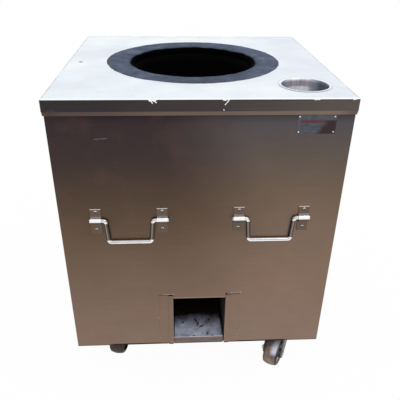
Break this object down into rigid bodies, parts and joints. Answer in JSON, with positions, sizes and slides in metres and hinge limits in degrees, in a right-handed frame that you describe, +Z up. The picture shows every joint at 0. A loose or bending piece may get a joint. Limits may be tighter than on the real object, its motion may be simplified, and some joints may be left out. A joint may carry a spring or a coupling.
{
  "type": "clay tandoor oven",
  "caption": "Square stainless steel tandoor cabinet on swivel casters, with a round plastered mouth over a clay pot, a cup in the top, drop handles and an ash opening.",
  "frame": {"origin": "on the floor, under the middle of the square cabinet", "axes": "+Z up; the front with the ash opening faces -Y; +X to the right seen from the front"},
  "size_m": [0.81, 0.8304, 0.987],
  "materials": {
    "cover_steel": "satin",
    "panel_steel": "satin",
    "polished_steel": "polished",
    "frame_steel": "matte",
    "tray_steel": "satin",
    "duct_steel": "matte",
    "baked_clay": "matte",
    "mouth_plaster": "matte",
    "mineral_wool": "matte",
    "grate_iron": "matte",
    "plate_metal": "satin",
    "caster_zinc": "satin",
    "wheel_iron": "satin",
    "bush_brass": "satin"
  },
  "bodies": {
    "oven": {"top_cover": "cover_steel", "front_panel": "panel_steel", "back_panel": "panel_steel", "left_side_panel": "panel_steel", "right_side_panel": "panel_steel", "bottom_plate": "frame_steel", "corner_plates": "frame_steel", "base_rail_front": "frame_steel", "base_rail_back": "frame_steel", "base_rail_left": "frame_steel", "base_rail_right": "frame_steel", "corner_posts": "frame_steel", "deck_rails": "frame_steel", "top_rails": "frame_steel", "deck_plate": "duct_steel", "ash_duct": "duct_steel", "fire_grate": "grate_iron", "hearth_ring": "baked_clay", "clay_pot": "baked_clay", "insulation": "mineral_wool", "mouth_collar": "mouth_plaster", "shutter_guide_left": "panel_steel", "shutter_guide_right": "panel_steel", "cup": "polished_steel", "name_plate": "plate_metal", "name_plate_rivets": "plate_metal", "handle_saddles_front": "polished_steel", "handle_saddles_rear": "polished_steel", "handle_screws_front": "polished_steel", "handle_screws_rear": "polished_steel", "caster_top_plates": "caster_zinc", "caster_kingpins": "caster_zinc", "caster_bolts": "caster_zinc"},
    "ash_tray": {"ash_tray": "tray_steel"},
    "bail_front_left": {"bail_front_left": "polished_steel"},
    "bail_front_right": {"bail_front_right": "polished_steel"},
    "bail_rear_left": {"bail_rear_left": "polished_steel"},
    "bail_rear_right": {"bail_rear_right": "polished_steel"},
    "swivel_front_left": {"fork_front_left": "caster_zinc", "axle_front_left": "polished_steel"},
    "roller_front_left": {"wheel_front_left": "wheel_iron", "bush_front_left": "bush_brass"},
    "swivel_front_right": {"fork_front_right": "caster_zinc", "axle_front_right": "polished_steel"},
    "roller_front_right": {"wheel_front_right": "wheel_iron", "bush_front_right": "bush_brass"},
    "swivel_rear_left": {"fork_rear_left": "caster_zinc", "axle_rear_left": "polished_steel"},
    "roller_rear_left": {"wheel_rear_left": "wheel_iron", "bush_rear_left": "bush_brass"},
    "swivel_rear_right": {"fork_rear_right": "caster_zinc", "axle_rear_right": "polished_steel"},
    "roller_rear_right": {"wheel_rear_right": "wheel_iron", "bush_rear_right": "bush_brass"}
  },
  "joints": [
    {"name": "ash_tray_slide", "type": "slide", "parent": "oven", "child": "ash_tray", "axis": [0, -1, 0], "range_m": [0, 0.3]},
    {"name": "bail_front_left_swing", "type": "hinge", "parent": "oven", "child": "bail_front_left", "pos_m": [-0.203, -0.4061, 0.633], "axis": [-1, 0, 0], "range_deg": [0, 175]},
    {"name": "bail_front_right_swing", "type": "hinge", "parent": "oven", "child": "bail_front_right", "pos_m": [0.203, -0.4061, 0.633], "axis": [-1, 0, 0], "range_deg": [0, 175]},
    {"name": "bail_rear_left_swing", "type": "hinge", "parent": "oven", "child": "bail_rear_left", "pos_m": [-0.203, 0.4061, 0.633], "axis": [1, 0, 0], "range_deg": [0, 175]},
    {"name": "bail_rear_right_swing", "type": "hinge", "parent": "oven", "child": "bail_rear_right", "pos_m": [0.203, 0.4061, 0.633], "axis": [1, 0, 0], "range_deg": [0, 175]},
    {"name": "caster_front_left_swivel", "type": "hinge", "parent": "oven", "child": "swivel_front_left", "pos_m": [-0.29, -0.32, 0.12], "axis": [0, 0, 1], "continuous": true},
    {"name": "caster_front_left_roll", "type": "hinge", "parent": "swivel_front_left", "child": "roller_front_left", "pos_m": [-0.28055, -0.27908, 0.05], "axis": [0.9744, -0.225, 0], "continuous": true},
    {"name": "caster_front_right_swivel", "type": "hinge", "parent": "oven", "child": "swivel_front_right", "pos_m": [0.29, -0.32, 0.12], "axis": [0, 0, 1], "continuous": true},
    {"name": "caster_front_right_roll", "type": "hinge", "parent": "swivel_front_right", "child": "roller_front_right", "pos_m": [0.269, -0.35637, 0.05], "axis": [-0.866, 0.5, 0], "continuous": true},
    {"name": "caster_rear_left_swivel", "type": "hinge", "parent": "oven", "child": "swivel_rear_left", "pos_m": [-0.29, 0.32, 0.12], "axis": [0, 0, 1], "continuous": true},
    {"name": "caster_rear_left_roll", "type": "hinge", "parent": "swivel_rear_left", "child": "roller_rear_left", "pos_m": [-0.30158, 0.27963, 0.05], "axis": [-0.9613, 0.2756, 0], "continuous": true},
    {"name": "caster_rear_right_swivel", "type": "hinge", "parent": "oven", "child": "swivel_rear_right", "pos_m": [0.29, 0.32, 0.12], "axis": [0, 0, 1], "continuous": true},
    {"name": "caster_rear_right_roll", "type": "hinge", "parent": "swivel_rear_right", "child": "roller_rear_right", "pos_m": [0.31036, 0.28327, 0.05], "axis": [-0.8746, -0.4848, 0], "continuous": true}
  ]
}
